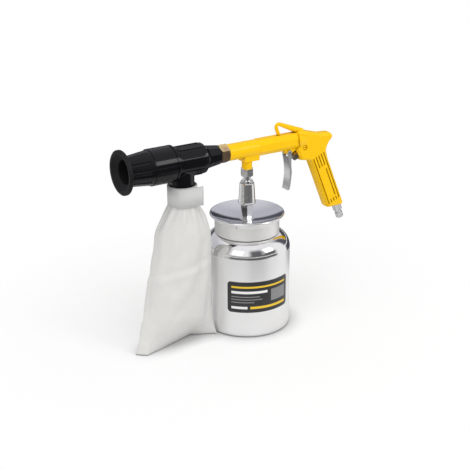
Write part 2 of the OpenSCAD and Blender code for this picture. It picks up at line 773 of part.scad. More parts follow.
// Side view of the casting in the X-Z plane, with x from the body's front and z from the barrel's axis
half_grip = handle_depth / 2 / cos(handle_tilt);
function grip_x(drop) = handle_set + (drop - chin_drop) * tan(handle_tilt);
module casting_outline() {
    web_x = tail_l - tail_over;
    face_dx = valve_boss_d / 2 * sin(valve_tilt);
    face_dz = valve_boss_d / 2 * cos(valve_tilt);
    polygon([
        [0, body_rise],
        [tail_l * 0.22, body_rise - 1.8],
        [tail_l * 0.63, tail_rise + 0.8],
        [tail_l - 5, tail_rise - 0.3],
        [tail_l, tail_rise - tail_t * 0.4],
        [tail_l - 2, tail_rise - tail_t * 0.6],
        [web_x + 4, tail_rise - tail_t],
        [web_x + 0.8, 4 - web_drop],
        [web_x, -web_drop],
        [grip_x(chin_drop) + half_grip, -chin_drop],
        [grip_x(handle_drop) + half_grip, -handle_drop],
        [grip_x(handle_drop) - half_grip, -handle_drop],
        [grip_x(chin_drop) - half_grip, -chin_drop],
        [valve_set + face_dx + 2, -valve_drop - face_dz - 1],
        [valve_set + face_dx, -valve_drop - face_dz],
        [valve_set - face_dx, -valve_drop + face_dz],
        [0, -valve_drop + face_dz]]);
}

// Casting without its bores, with rounded edges
module casting_form() {
    translate([body_front, 0, barrel_z]) rotate([90, 0, 0]) minkowski() {
        linear_extrude(handle_w - 2 * side_r, center = true) offset(r = -web_fillet - edge_r, $fn = 32)
            offset(r = web_fillet, $fn = 32) casting_outline();
        scale([edge_r, edge_r, side_r]) sphere(r = 1, $fn = 20);
    }
}

// Rod of the hanging eye: front leg, bend and slope, drawn from the middle of the bend. Leg and slope
// are thicker than the bend by a hair and lap over its ends.
module hanging_eye() {
    hair = 0.08;
    lap = 0.2;
    eye_end = 10;
    bend_x = eye_bend - eye_reach;
    bend_z = eye_rise - eye_r - eye_bend;
    leg_l = (bend_z - eye_bend * sin(eye_lean) - barrel_af / 2 + 1) / cos(eye_lean);
    slope_l = (eye_end - bend_x - eye_bend * sin(eye_slope)) / cos(eye_slope);
    translate([body_front + bend_x, 0, barrel_z + bend_z]) {
        rotate([90, 0, 0]) rotate([0, 0, 90 - eye_slope]) rotate_extrude(angle = 90 + eye_lean + eye_slope)
            translate([eye_bend, 0]) circle(eye_r, $fn = 32);
        rotate([0, 180 - eye_lean, 0]) translate([eye_bend, 0, -lap])
            cylinder(h = leg_l + lap, r = eye_r + hair, $fn = 32);
        rotate([0, 90 + eye_slope, 0]) translate([-eye_bend, 0, -lap])
            cylinder(h = slope_l + lap, r1 = eye_r + hair, r2 = eye_root_r, $fn = 32);
    }
}

// Boss round the barrel's root, with a front edge that is round in the side view
module barrel_boss() {
    intersection() {
        taper(body_front, boss_d / 2, body_front + boss_l, handle_w / 2 - 3.5);
        translate([body_front + cheek_r, 0, barrel_z + cheek_rise]) rotate([90, 0, 0])
            cylinder(h = 2 * boss_d, r = cheek_r, center = true);
    }
}

// Lug that carries the trigger's pivot
module pivot_lug() {
    lug_front = pivot_d * 1.8;
    lug_root = 2.5;
    hull() {
        translate([pivot_x, 0, pivot_z]) rotate([90, 0, 0]) cylinder(h = lug_w, r = pivot_d, center = true);
        translate([pivot_x - lug_front, -lug_w / 2, barrel_z - barrel_af / 2])
            cube([pivot_front + lug_front + valve_set, lug_w, lug_root]);
    }
}

// Place children on the valve's axis, +Z pointing out of the valve face towards the trigger
module at_valve() {
    translate([valve_x, 0, valve_z]) rotate([0, -90 - valve_tilt, 0]) children();
}

// Place children on the inlet's axis, +Z pointing out of the handle's foot
inlet_x = body_front + grip_x(handle_drop) + inlet_set;
inlet_seat = 2.2;
module at_inlet() {
    translate([inlet_x, 0, barrel_z - handle_drop]) rotate([0, 180 - inlet_tilt, 0]) children();
}

// One groove of the grip: a slot with round ends along the handle, x across and l down from the top
module groove(x, top, l) {
    translate([x - groove_w / 2, -top - l]) square([groove_w, l]);
    for (end = [top, top + l]) translate([x, -end]) circle(d = groove_w, $fn = 24);
}

// Groove pattern of one side of the grip, drawn in the handle's own slanted plane
module grip_pattern() {
    grip_end = (handle_drop - chin_drop) / cos(handle_tilt) - grip_margin;
    slot_end = grip_slot_l - grip_rise;
    foot_top = grip_end - grip_foot_l;
    for (i = [-2, 2]) groove(i * groove_step - groove_set, -grip_rise, grip_end + grip_rise);
    for (i = [-1:1]) groove(i * groove_step - groove_set, -grip_rise, grip_slot_l);
    for (i = [-1:1]) groove(i * groove_step - groove_set, foot_top, grip_foot_l);
    groove(groove_step - groove_set, slot_end + grip_gap, foot_top - slot_end - 1.5 * grip_gap);
}

module grip_grooves() {
    for (side = [-1, 1]) translate([body_front + grip_x(chin_drop), side * handle_w / 2, barrel_z - chin_drop])
        rotate([0, -handle_tilt, 0]) rotate([90, 0, 0])
            linear_extrude(2 * groove_depth, center = true) grip_pattern();
}

module gun_body() {
    barrel_r = barrel_af / 2 / cos(22.5);
    root_x = body_front + root_set;
    color("gold") difference() {
        union() {
            casting_form();
            translate([tee_rear, 0, barrel_z]) rotate([0, 90, 0]) rotate([0, 0, 22.5])
                cylinder(h = root_x - tee_rear, r = barrel_r, $fn = 8);
            bar(tee_rear - barrel_thread, tee_rear + 1, spigot_d / 2);
            barrel_boss();
            hanging_eye();
            pivot_lug();
            at_valve() translate([0, 0, -valve_depth / 2]) cylinder(h = valve_depth / 2, d = valve_boss_d);
        }
        bar(tee_rear - barrel_thread - 1, body_front + air_set, barrel_bore / 2);
        translate([pivot_x, 0, pivot_z]) rotate([90, 0, 0]) cylinder(h = big, d = pivot_d, center = true);
        at_valve() translate([0, 0, -valve_depth]) cylinder(h = valve_depth + 1, d = valve_bore);
        at_valve() cylinder(h = cap_h + 1, r = cap_af / 2 / cos(30) + cap_room);
        at_inlet() translate([0, 0, -inlet_seat - inlet_thread_l - 1])
            cylinder(h = inlet_thread_l + 5, d = inlet_thread_d + 2 * fit_gap);
        at_inlet() translate([0, 0, -inlet_seat]) cylinder(h = 10, d = inlet_collar_d + 2 * fit_gap);
        at_screw() translate([0, 0, -screw_depth]) cylinder(h = 2 * screw_depth, d = screw_d);
        at_screw() translate([0, 0, -screw_recess]) cylinder(h = screw_depth, d = screw_d + 2 * screw_room);
        grip_grooves();
    }
}

// Trigger: a pressed channel. Its web is an arc round finger_c, with x ahead of and z below the pivot
finger_mid = trigger_l / 2 + 2;
finger_c = [finger_set - finger_r, -finger_mid];
trigger_in = lug_w + 2 * trigger_side;
trigger_out = trigger_in + 2 * trigger_t;
web_top = -pivot_d - 2;
ear_r = pivot_d / 2 + 1.6;
module web_side(r) {
    translate(finger_c) circle(r, $fn = 360);
}

// Side view of the trigger below its ears
module cheek_side() {
    knee = 17;
    lap = ear_r - 0.4;
    difference() {
        polygon([[-lap, 0.3], [lap, 0.3], [cheek_depth - 1, -knee / 2], [cheek_depth - 0.8, -knee],
                 [cheek_depth, -finger_mid], [cheek_depth / 2, 6 - trigger_l], [0, -trigger_l],
                 [-lap, -trigger_l]]);
        web_side(finger_r);
    }
}

module trigger() {
    color("whitesmoke") translate([pivot_x, 0, pivot_z]) rotate([90, 0, 0]) difference() {
        union() {
            linear_extrude(trigger_out, center = true) cheek_side();
            cylinder(h = trigger_out, r = ear_r, center = true);
        }
        cylinder(h = 2 * trigger_out, d = pivot_d + 2 * fit_gap, center = true);
        linear_extrude(trigger_in, center = true) difference() {
            translate([-trigger_l / 2, -2 * trigger_l]) square([trigger_l, 3 * trigger_l]);
            intersection() {
                web_side(finger_r + trigger_t);
                translate([-big, -big]) square([2 * big, big + web_top]);
            }
        }
    }
}

module trigger_pin() {
    head = 0.6;
    color("silver") translate([pivot_x, 0, pivot_z]) rotate([90, 0, 0])
        cylinder(h = trigger_out + 2 * head, d = pivot_d, center = true);
}

module valve_cap() {
    color("silver") at_valve() difference() {
        union() {
            hex_prism(cap_af, cap_h, 0.6);
            translate([0, 0, -cap_thread]) cylinder(h = cap_thread + 1, r = valve_bore / 2 - fit_gap);
        }
        translate([0, 0, -cap_thread - 1]) cylinder(h = big, r = stem_pin_d / 2 + fit_gap);
    }
}

// Distance along the valve's axis from its face to the back of the trigger's web
valve_dir = [-cos(valve_tilt), -sin(valve_tilt)];
from_c = [valve_x - pivot_x, valve_z - pivot_z] - finger_c;
web_back = finger_r + trigger_t;
along = valve_dir * from_c;
chord = sqrt(along * along - from_c * from_c + web_back * web_back);
web_reach = -along - chord;
tip_r = stem_pin_d / 2;
tip_z = web_reach - (tip_r + trigger_gap) * web_back / chord;
seal_t = 1.2;
head_t = 2.5;
head_z = -cap_thread - seal_t - trigger_gap - head_t;
module valve_stem() {
    color("silver") at_valve() {
        translate([0, 0, head_z + head_t / 2]) cylinder(h = tip_z - head_z - head_t / 2, r = tip_r);
        translate([0, 0, tip_z]) sphere(r = tip_r);
        translate([0, 0, head_z]) cylinder(h = head_t, r = valve_bore / 2 - sleeve_gap);
    }
}

module valve_seal() {
    color("dimgray") at_valve() translate([0, 0, -cap_thread - seal_t]) difference() {
        cylinder(h = seal_t, r = valve_bore / 2 - fit_gap);
        translate([0, 0, -1]) cylinder(h = seal_t + 2, r = tip_r + 2 * fit_gap);
    }
}

module valve_spring() {
    seat = 0.2;
    color("darkgray") at_valve() translate([0, 0, -valve_depth + seat])
        coil(valve_bore / 2 - sleeve_gap - valve_wire, valve_wire, 5, valve_depth + head_z - 2 * seat);
}

// Slotted screw sunk in the side of the body
screw_set = 10;
screw_drop = 9;
screw_depth = 4;
screw_recess = 1.5;
module at_screw() {
    translate([body_front + screw_set, -handle_w / 2, barrel_z - screw_drop]) rotate([90, 0, 0]) children();
}

module side_screw() {
    slot = 0.8;
    color("gold") at_screw() difference() {
        translate([0, 0, -screw_depth]) cylinder(h = screw_depth - slot, r = screw_d / 2 - fit_gap);
        translate([0, 0, -slot]) cube([screw_d, slot, 2 * slot], center = true);
    }
}

// Air plug screwed into the handle's foot
module inlet_nipple() {
    z1 = inlet_collar_l - inlet_seat;
    z2 = z1 + inlet_neck_l;
    z3 = z2 + inlet_plug_l;
    chamfer = 1;
    color("silver") at_inlet() difference() {
        union() {
            translate([0, 0, -inlet_seat - inlet_thread_l])
                cylinder(h = inlet_thread_l + eps, d = inlet_thread_d);
            translate([0, 0, -inlet_seat]) cylinder(h = inlet_collar_l, d = inlet_collar_d);
            translate([0, 0, z1 - eps]) cylinder(h = inlet_neck_l + 2 * eps, d = inlet_neck_d);
            translate([0, 0, z2]) cylinder(h = inlet_plug_l, d = inlet_plug_d);
            translate([0, 0, z3 - eps])
                cylinder(h = chamfer, d1 = inlet_plug_d, d2 = inlet_plug_d - 2 * chamfer);
        }
        translate([0, 0, -inlet_seat - inlet_thread_l - 1]) cylinder(h = big / 4, d = inlet_bore);
    }
}

// Flat grip pads with round ends, l long and w wide, spaced round the barrel's axis at xm where the
// surface has radius r and the given slope
module pads(xm, r, slope, l, w) {
    sink = 1.2;
    for (i = [0:pad_n - 1]) translate([xm, 0, barrel_z]) rotate([360 * (i + 0.5) / pad_n, 0, 0])
        translate([0, 0, r]) rotate([0, -slope, 0]) translate([0, 0, -sink]) linear_extrude(sink + pad_h) {
            square([l - w, w], center = true);
            for (end = [-1, 1]) translate([end * (l - w) / 2, 0]) circle(d = w);
        }
}

// Rear half of the recovery head, with the collar on the nozzle and the branch to the bag
bush_r = nozzle_r + 3;
module head_housing() {
    margin = 2.5;
    pad_w = 0.68 * PI * housing_d / pad_n;
    color("dimgray") difference() {
        union() {
            translate([collar_x, 0, barrel_z]) rotate([0, 90, 0])
                cylinder(h = collar_l, d1 = collar_front_d, d2 = collar_rear_d, $fn = 10);
            taper(housing_x, housing_r, collar_x + eps, collar_front_d / 2 - 0.8);
            bar(sleeve_x - head_joint_l, housing_x + eps, housing_r);
            pads((sleeve_x + housing_x) / 2, housing_r, 0, housing_l - 2 * margin, pad_w);
            translate([branch_x, 0, branch_z]) cylinder(h = barrel_z - branch_z, r = branch_r);
        }
        bar(sleeve_x - head_joint_l - 1, housing_x, housing_ri);
        bar(housing_x - 1, head_x + 1, nozzle_r + fit_gap);
        bar(collar_x + 1, head_x + 1, bush_r + fit_gap);
        translate([branch_x, 0, branch_z - 1])
            cylinder(h = barrel_z - branch_z + 1, r = branch_r - branch_wall);
    }
}

module head_bush() {
    color("black") difference() {
        bar(collar_x + 1, head_x, bush_r);
        bar(collar_x, head_x + 1, nozzle_r + fit_gap);
    }
}

// Smooth sleeve that slides over the housing, with a fluted cone in front
mouth_neck_r = mouth_hole_r + mouth_wall;
module head_sleeve() {
    r = front_sleeve_d / 2;
    edge = 1;
    groove = 0.8;
    margin = 4;
    slope = atan((r - edge - cone_d / 2) / cone_l);
    color("dimgray") difference() {
        turned() polygon([
            [sleeve_x, 0], [sleeve_x, r - edge], [sleeve_x - edge, r], [sleeve_x - 3 * edge, r],
            [sleeve_x - 3 * edge, r - groove], [sleeve_x - 3 * edge - 2 * groove, r - groove],
            [sleeve_x - 3 * edge - 2 * groove, r], [cone_x + edge, r], [cone_x, r - edge],
            [mouth_x, cone_d / 2], [mouth_x, 0]]);
        for (i = [0:pad_n - 1]) translate([mouth_x, 0, barrel_z]) rotate([360 * (i + 0.5) / pad_n, 0, 0])
            translate([0, 0, cone_d / 2 + flute_r - flute_depth]) rotate([0, 90 - slope, 0])
                translate([0, 0, -flute_r]) cylinder(h = cone_l + flute_r - margin, r = flute_r, $fn = 32);
        bar(mouth_x - 1, sleeve_x + 1, mouth_neck_r + fit_gap);
        bar(sleeve_x - head_joint_l - fit_gap, sleeve_x + 1, sleeve_ri);
        translate([branch_x, 0, branch_z]) cylinder(h = barrel_z - branch_z, r = branch_r + fit_gap);
    }
}

// Rubber mouth: neck in the cone, dished flange with a flat lip
module mouth_flange() {
    edge = 0.8;
    lip_w = 4;
    r = mouth_d / 2;
    back_x = mouth_x - fit_gap;
    color("#222222") turned() polygon([
        [mouth_x + mouth_neck_l, mouth_hole_r], [mouth_x + mouth_neck_l, mouth_neck_r], [back_x, mouth_neck_r],
        [back_x, cone_d / 2], [mouth_x - mouth_back, r - edge], [mouth_x - mouth_back - edge, r],
        [face_x + edge, r], [face_x, r - edge], [face_x, r - lip_w],
        [face_x + lip_t, mouth_hole_r + 2], [face_x + lip_t + 1, mouth_hole_r]]);
}

// Band round the bag's neck with its loose end
module bag_strap() {
    ro = strap_ri + strap_t;
    color("white") translate([branch_x, 0, strap_z]) difference() {
        union() {
            cylinder(h = strap_h, r = ro);
            translate([0, -ro, 0]) cube([strap_tail, strap_t, strap_h]);
        }
        translate([0, 0, -1]) cylinder(h = strap_h + 2, r = strap_ri);
    }
}

// Cloth bag: lens-shaped rings from the wavy foot up to the round neck
ring_n = 40;
bag_rows = 24;
bag_shoulder_h = 36;
bag_shoulder_z = strap_z - bag_shoulder_h;
bag_foot_b = bag_half_t / 2;
foot_left_x = bag_right_x - bag_w;
shoulder_left_x = branch_x - 2.3 * bag_neck_r;
// Front and back edge of the foot, from its right corner at 0 to its left tip at 1
tip_end = tip_lean / 2;
foot_front = [[0, -foot_lean], [0.27, tuck_set], [0.905, -tip_lean], [1, -tip_end]];
foot_back = [[0, -foot_lean], [0.12, 0], [0.45, bag_half_t * 0.7], [0.85, bag_foot_b / 2], [1, -tip_end]];
function power(v, p) = sign(v) * pow(abs(v), p);
function bag_point(z, t) =
    let (low = min(1, z / bag_shoulder_z), up = min(1, max(0, z - bag_shoulder_z) / (strap_z - bag_shoulder_z)),
         draw = pow(up, 1.5),
         wave = pow(max(0, 1 - z / foot_rise), 2),
         share = (1 - cos(t)) / 2,
         left = mix(mix(foot_left_x, shoulder_left_x, low), branch_x - bag_neck_r, draw),
         right = mix(bag_right_x + foot_kick * wave, branch_x + bag_neck_r, draw),
         b = mix(mix(bag_foot_b, bag_half_t, sin(90 * low)), bag_neck_r, draw),
         lean = mix(bag_lean, tip_end * (1 - low), share) * (1 - draw),
         body_y = b * power(sin(t), mix(seam_power, 1, draw)) - lean,
         foot_y = lookup(share, sin(t) < 0 ? foot_front : foot_back))
    [mix(right, left, share), mix(body_y, foot_y, wave), z];
function bag_ring(z) = [for (i = [0:ring_n - 1]) bag_point(z, 360 * i / ring_n)];

module recovery_bag() {
    rows = [for (j = [0:bag_rows - 1]) bag_ring(strap_z * j / (bag_rows - 1))];
    rings = concat(rows, [bag_ring(strap_top_z)]);
    points = [for (row = rings) each row];
    color("ivory") difference() {
        polyhedron(points, skin_faces(bag_rows + 1, ring_n));
        translate([branch_x, 0, branch_z - 1]) cylinder(h = big, r = branch_r + bag_gap);
    }
}

pot_body();
lid();
lid_gasket();
coupler_body();
coupler_lock_nut();
pickup_tube();
coupler_seal();
lock_balls();
coupler_sleeve();
sleeve_spring();
sleeve_clip();
suction_plug();
blast_tee();
air_jet();
blast_nozzle();
nozzle_nut();
gun_body();
trigger();
trigger_pin();
valve_cap();
valve_stem();
valve_seal();
valve_spring();
side_screw();
inlet_nipple();
head_housing();
head_bush();
head_sleeve();
mouth_flange();
bag_strap();
recovery_bag();
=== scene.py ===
"""Spot blasting gun on its media pot, with recovery head and cloth bag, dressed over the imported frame."""

import math

import bmesh
import bpy
from mathutils import Matrix, Vector, noise


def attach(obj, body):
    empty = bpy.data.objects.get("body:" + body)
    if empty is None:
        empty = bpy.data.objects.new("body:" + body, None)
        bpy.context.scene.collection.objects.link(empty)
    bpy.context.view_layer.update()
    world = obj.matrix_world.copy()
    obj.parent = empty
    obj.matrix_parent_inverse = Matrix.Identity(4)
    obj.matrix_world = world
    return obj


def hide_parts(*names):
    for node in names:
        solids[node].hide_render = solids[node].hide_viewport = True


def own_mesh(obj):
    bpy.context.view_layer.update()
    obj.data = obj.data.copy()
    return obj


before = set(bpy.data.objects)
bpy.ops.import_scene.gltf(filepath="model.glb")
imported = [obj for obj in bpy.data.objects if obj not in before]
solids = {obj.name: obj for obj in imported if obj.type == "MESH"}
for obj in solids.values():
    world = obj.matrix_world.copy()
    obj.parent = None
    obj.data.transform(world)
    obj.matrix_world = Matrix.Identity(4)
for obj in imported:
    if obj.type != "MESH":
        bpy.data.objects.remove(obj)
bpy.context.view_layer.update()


# Media pot: a one litre aluminium bottle, spun and necked in. Its side keeps a fine turned grain,
# and its shoulder is buffed bright. It stands on its own foot and carries everything else.
SHOULDER_Z, BUFF_BLEND = 0.0982, 0.0008
POT_PALE, POT_DULL = (0.83, 0.825, 0.825), (0.77, 0.765, 0.765)
SIDE_ROUGH, SHOULDER_ROUGH = 0.36, 0.08
TURNED_MARKS, MARK_DEEP = (14.0, 14.0, 3600.0), 0.0003


def shader_of(finish):
    """The material's own surface shader."""
    return finish.node_tree.nodes["Principled BSDF"]


def new_finish(name, colour, metallic=0.0, roughness=0.5, **more):
    """A fresh material whose constant values sit on the shader's own sockets."""
    finish = bpy.data.materials.new(name)
    finish.use_nodes = True
    values = {"Base_Color": (*colour, 1.0), "Metallic": metallic, "Roughness": roughness, **more}
    for key, value in values.items():
        shader_of(finish).inputs[key.replace("_", " ")].default_value = value
    return finish


def wire(finish, kind, out=0, **settings):
    """Adds one shader node, sets or links its inputs by name or number, and returns one output."""
    tree = finish.node_tree
    node = tree.nodes.new("ShaderNode" + kind)
    for key, value in settings.items():
        if key[0].islower():
            setattr(node, key, value)
            continue
        socket = node.inputs[int(key[1:]) if key[0] == "_" else key.replace("_", " ")]
        if isinstance(value, bpy.types.NodeSocket):
            tree.links.new(value, socket)
        else:
            socket.default_value = value
    return node.outputs[out]


def feed(finish, **links):
    """Links outputs into the material's own shader."""
    for key, value in links.items():
        finish.node_tree.links.new(value, shader_of(finish).inputs[key.replace("_", " ")])


def reckon(finish, step, *values):
    """One step of arithmetic on a material's values, such as ADD or MULTIPLY."""
    return wire(finish, "Math", operation=step, **{f"_{place}": value for place, value in enumerate(values)})


def between(finish, value, low, high, start=0.0, end=1.0):
    """A value carried from the range start to end into the range low to high."""
    return wire(finish, "MapRange", Value=value, From_Min=start, From_Max=end, To_Min=low, To_Max=high)


def mix_colours(finish, share, one, other):
    """The colour between two others, by a share from 0 to 1."""
    node = finish.node_tree.nodes.new("ShaderNodeMix")
    node.data_type = "RGBA"
    for socket, value in zip((node.inputs[0], node.inputs[6], node.inputs[7]), (share, one, other)):
        if isinstance(value, bpy.types.NodeSocket):
            finish.node_tree.links.new(value, socket)
        else:
            socket.default_value = (*value, 1.0)
    return node.outputs[2]


def grain(finish, scale, detail=2.0, stretch=(1.0, 1.0, 1.0)):
    """Noise on the piece's own coordinates, drawn out along an axis for turned marks."""
    drawn = wire(finish, "Mapping", Vector=wire(finish, "TexCoord", out="Object"), Scale=stretch)
    return wire(finish, "TexNoise", Vector=drawn, Scale=scale, Detail=detail)


def relief(finish, strength, deep, height):
    """Fine roughness of a surface that only the light shows."""
    return wire(finish, "Bump", Strength=strength, Distance=deep, Height=height)


def height_of(finish):
    """How high a point of the piece lies."""
    return wire(finish, "SeparateXYZ", out="Z", Vector=wire(finish, "TexCoord", out="Object"))


def dress(finish, *names):
    """Gives CAD solids that stay on show their finish."""
    for name in names:
        solids[name].data.materials.clear()
        solids[name].data.materials.append(finish)


pot_metal = new_finish("turned aluminium", (0.77, 0.77, 0.78), 0.5, 0.46)
buffed = between(pot_metal, height_of(pot_metal), 0.0, 1.0, SHOULDER_Z, SHOULDER_Z + BUFF_BLEND)
handled = grain(pot_metal, 38.0, 4.0)
feed(pot_metal,
     Base_Color=mix_colours(pot_metal, handled, POT_PALE, POT_DULL),
     Metallic=between(pot_metal, buffed, 0.62, 1.0),
     Roughness=reckon(pot_metal, "ADD", between(pot_metal, buffed, SIDE_ROUGH, SHOULDER_ROUGH),
                      between(pot_metal, handled, -0.03, 0.06)),
     Normal=relief(pot_metal, between(pot_metal, buffed, 0.10, 0.004), MARK_DEEP,
                   grain(pot_metal, 1.0, 2.0, TURNED_MARKS)))
dress(pot_metal, "pot_body")


# Rating plate: a black film label with rounded corners, stuck round the front of the pot. Plain bars
# of yellow, white and grey ink fill its face.
PLATE_START, PLATE_END = math.radians(-149.5), math.radians(-59.0)
PLATE_LOW, PLATE_HIGH = 0.0325, 0.0712
PLATE_RADIUS, PLATE_CORNER, PLATE_STEP = 0.05112, 0.004, math.radians(2.0)
INK_LIFT, INK_CORNER = 0.00006, 0.0004
FILM, YELLOW, WHITE, GREY = range(4)
# Left, right, foot and top of each bar as shares of the plate, and its ink.
INK_BARS = (
    (0.06, 0.94, 0.80, 0.86, YELLOW), (0.06, 0.60, 0.62, 0.70, WHITE), (0.06, 0.48, 0.50, 0.53, GREY),
    (0.06, 0.52, 0.41, 0.44, GREY), (0.06, 0.40, 0.32, 0.35, GREY), (0.66, 0.94, 0.32, 0.70, GREY),
    (0.06, 0.30, 0.12, 0.20, WHITE), (0.34, 0.94, 0.12, 0.20, YELLOW),
)


def wrapped_patch(shape, start, end, low, high, corner, radius, finish_index):
    """One rounded film, laid flat first, cut into strips and then bent round the pot."""
    flat = bmesh.new()
    wide, tall = radius * (end - start), high - low
    bmesh.ops.create_grid(flat, x_segments=1, y_segments=1, size=0.5)
    bmesh.ops.scale(flat, vec=(wide, tall, 1.0), verts=flat.verts)
    bmesh.ops.bevel(flat, geom=flat.verts[:], offset=corner, segments=6, profile=0.5,
                    affect="VERTICES", material=-1)
    strips = max(2, round((end - start) / PLATE_STEP))
    for cut in range(1, strips):
        bmesh.ops.bisect_plane(flat, geom=flat.verts[:] + flat.edges[:] + flat.faces[:],
                               plane_co=(wide * (cut / strips - 0.5), 0.0, 0.0), plane_no=(1.0, 0.0, 0.0))
    for vert in flat.verts:
        turn = (start + end) / 2 + vert.co.x / radius
        vert.co = (radius * math.cos(turn), radius * math.sin(turn), (low + high) / 2 + vert.co.y)
    bmesh.ops.recalc_face_normals(flat, faces=flat.faces)
    for face in flat.faces:
        face.material_index = finish_index
        middle = face.calc_center_median()
        if face.normal.dot(Vector((middle.x, middle.y, 0.0))) < 0:
            face.normal_flip()
    loose = bpy.data.meshes.new("film")
    flat.to_mesh(loose)
    flat.free()
    shape.from_mesh(loose)
    bpy.data.meshes.remove(loose)


def show(shape, name, *finishes):
    """Turns a worked shape into an object of the scene with its finishes."""
    mesh = bpy.data.meshes.new(name)
    shape.to_mesh(mesh)
    shape.free()
    for finish in finishes:
        mesh.materials.append(finish)
    piece = bpy.data.objects.new(name, mesh)
    bpy.context.scene.collection.objects.link(piece)
    return piece


def label_finish(name, colour, roughness, fine=300.0, detail=2.0):
    """Film or ink whose gloss varies a little over its face."""
    finish = new_finish(name, colour, 0.0, roughness)
    feed(finish, Roughness=between(finish, grain(finish, fine, detail), roughness - 0.06, roughness + 0.08))
    return finish


plate = bmesh.new()
wrapped_patch(plate, PLATE_START, PLATE_END, PLATE_LOW, PLATE_HIGH, PLATE_CORNER, PLATE_RADIUS, FILM)
plate_wide, plate_tall = PLATE_END - PLATE_START, PLATE_HIGH - PLATE_LOW
for left, right, low, high, ink in INK_BARS:
    wrapped_patch(plate, PLATE_START + left * plate_wide, PLATE_START + right * plate_wide,
                  PLATE_LOW + low * plate_tall, PLATE_LOW + high * plate_tall,
                  INK_CORNER, PLATE_RADIUS + INK_LIFT, ink)
rating_plate = show(plate, "rating_plate",
                    label_finish("black label film", (0.016, 0.016, 0.018), 0.34, 160.0, 3.0),
                    label_finish("yellow label ink", (0.80, 0.52, 0.02), 0.40),
                    label_finish("white label ink", (0.80, 0.80, 0.79), 0.42),
                    label_finish("grey label ink", (0.22, 0.22, 0.225), 0.42))
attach(rating_plate, "pot")


# Lid: a spun aluminium cup with a dished top and a satin skirt, screwed on the pot's neck. The dish
# is polished and has a bluish cast. The pickup tube under it is of the same metal.
DISH_Z, DISH_BLEND = 0.1320, 0.0005
FACING_UP_START, FACING_UP_FULL = 0.15, 0.45
SKIRT_PALE, DISH_BLUISH = (0.78, 0.775, 0.765), (0.63, 0.635, 0.665)
SKIRT_ROUGH, DISH_ROUGH = 0.42, 0.10

lid_metal = new_finish("spun lid aluminium", (0.62, 0.64, 0.70), 1.0, 0.14)
lid_top = between(lid_metal, height_of(lid_metal), 0.0, 1.0, DISH_Z - DISH_BLEND, DISH_Z)
facing = wire(lid_metal, "SeparateXYZ", out="Z", Vector=wire(lid_metal, "NewGeometry", out="Normal"))
facing_up = between(lid_metal, facing, 0.0, 1.0, FACING_UP_START, FACING_UP_FULL)
dished = reckon(lid_metal, "MULTIPLY", lid_top, facing_up)
feed(lid_metal,
     Base_Color=mix_colours(lid_metal, dished, SKIRT_PALE, DISH_BLUISH),
     Metallic=between(lid_metal, dished, 0.45, 1.0),
     Roughness=reckon(lid_metal, "ADD", between(lid_metal, dished, SKIRT_ROUGH, DISH_ROUGH),
                      between(lid_metal, grain(lid_metal, 60.0, 4.0), -0.02, 0.06)),
     Normal=relief(lid_metal, between(lid_metal, dished, 0.08, 0.01), MARK_DEEP,
                   grain(lid_metal, 1.0, 2.0, TURNED_MARKS)))
dress(lid_metal, "lid", "pickup_tube")


# Seals: moulded black rubber rings with a dull skin, laid in under the lid, in the coupler's socket
# and under the valve's cap.
SKIN_DEEP = 0.0002

rubber = new_finish("black rubber", (0.007, 0.007, 0.008), 0.0, 0.6, Specular_IOR_Level=0.2)
feed(rubber,
     Roughness=between(rubber, grain(rubber, 260.0, 4.0), 0.46, 0.68),
     Normal=relief(rubber, 0.12, SKIN_DEEP, grain(rubber, 2600.0)))
dress(rubber, "lid_gasket", "coupler_seal", "valve_seal")


# Quick coupler: a turned and plated socket on a tapered hexagon, nutted through the lid, with a
# spring-loaded sleeve over six steel balls that hold the gun's plug.
COUPLER_MARKS = (30.0, 30.0, 4200.0)
SHARP_EDGE, CORNER_WELD = math.radians(32.0), 0.000002


def merged_copy(node, name, finish):
    """A copy of a solid with its corners joined, shaded smooth except over sharp edges."""
    shape = bmesh.new()
    shape.from_mesh(solids[node].data)
    bmesh.ops.remove_doubles(shape, verts=shape.verts, dist=CORNER_WELD)
    for face in shape.faces:
        face.smooth = True
    for edge in shape.edges:
        edge.smooth = edge.calc_face_angle(0.0) < SHARP_EDGE
    return show(shape, name, finish)


plating = new_finish("bright nickel plating", (0.80, 0.795, 0.785), 1.0, 0.09)
feed(plating,
     Base_Color=mix_colours(plating, grain(plating, 90.0, 4.0), (0.84, 0.835, 0.83), (0.74, 0.735, 0.73)),
     Roughness=between(plating, grain(plating, 120.0, 4.0), 0.15, 0.25),
     Normal=relief(plating, 0.03, SKIN_DEEP, grain(plating, 1.0, 2.0, COUPLER_MARKS)))
dress(plating, "coupler_body", "coupler_sleeve", "suction_plug")

steel = new_finish("zinc plated steel", (0.60, 0.60, 0.60), 1.0, 0.28)
feed(steel,
     Base_Color=mix_colours(steel, grain(steel, 140.0, 4.0), (0.66, 0.66, 0.66), (0.52, 0.52, 0.53)),
     Roughness=between(steel, grain(steel, 220.0, 4.0), 0.20, 0.38),
     Normal=relief(steel, 0.05, SKIN_DEEP, grain(steel, 3000.0)))
dress(steel, "coupler_lock_nut", "lock_balls", "sleeve_clip")

sleeve_coil = merged_copy("sleeve_spring", "sleeve_coil", steel)
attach(sleeve_coil, "lid")
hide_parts("sleeve_spring")
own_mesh(sleeve_coil)


# Gun body: a die-cast pistol body with the mixing tee screwed on its barrel, both powder coated in a
# glossy golden yellow, with shade painted darker into its colour in the corners and grooves. A brass
# jet is screwed into the barrel's end, and the nozzle and the air nipple are plated steel.
COAT_LIGHT, COAT_WARM, PAINTED_CORNER_SHADE = (0.96, 0.57, 0.003), (0.92, 0.53, 0.002), (0.46, 0.23, 0.002)
CORNER_REACH, CORNER_DEEPEST, CORNER_CLEAR = 0.0026, 0.45, 0.92

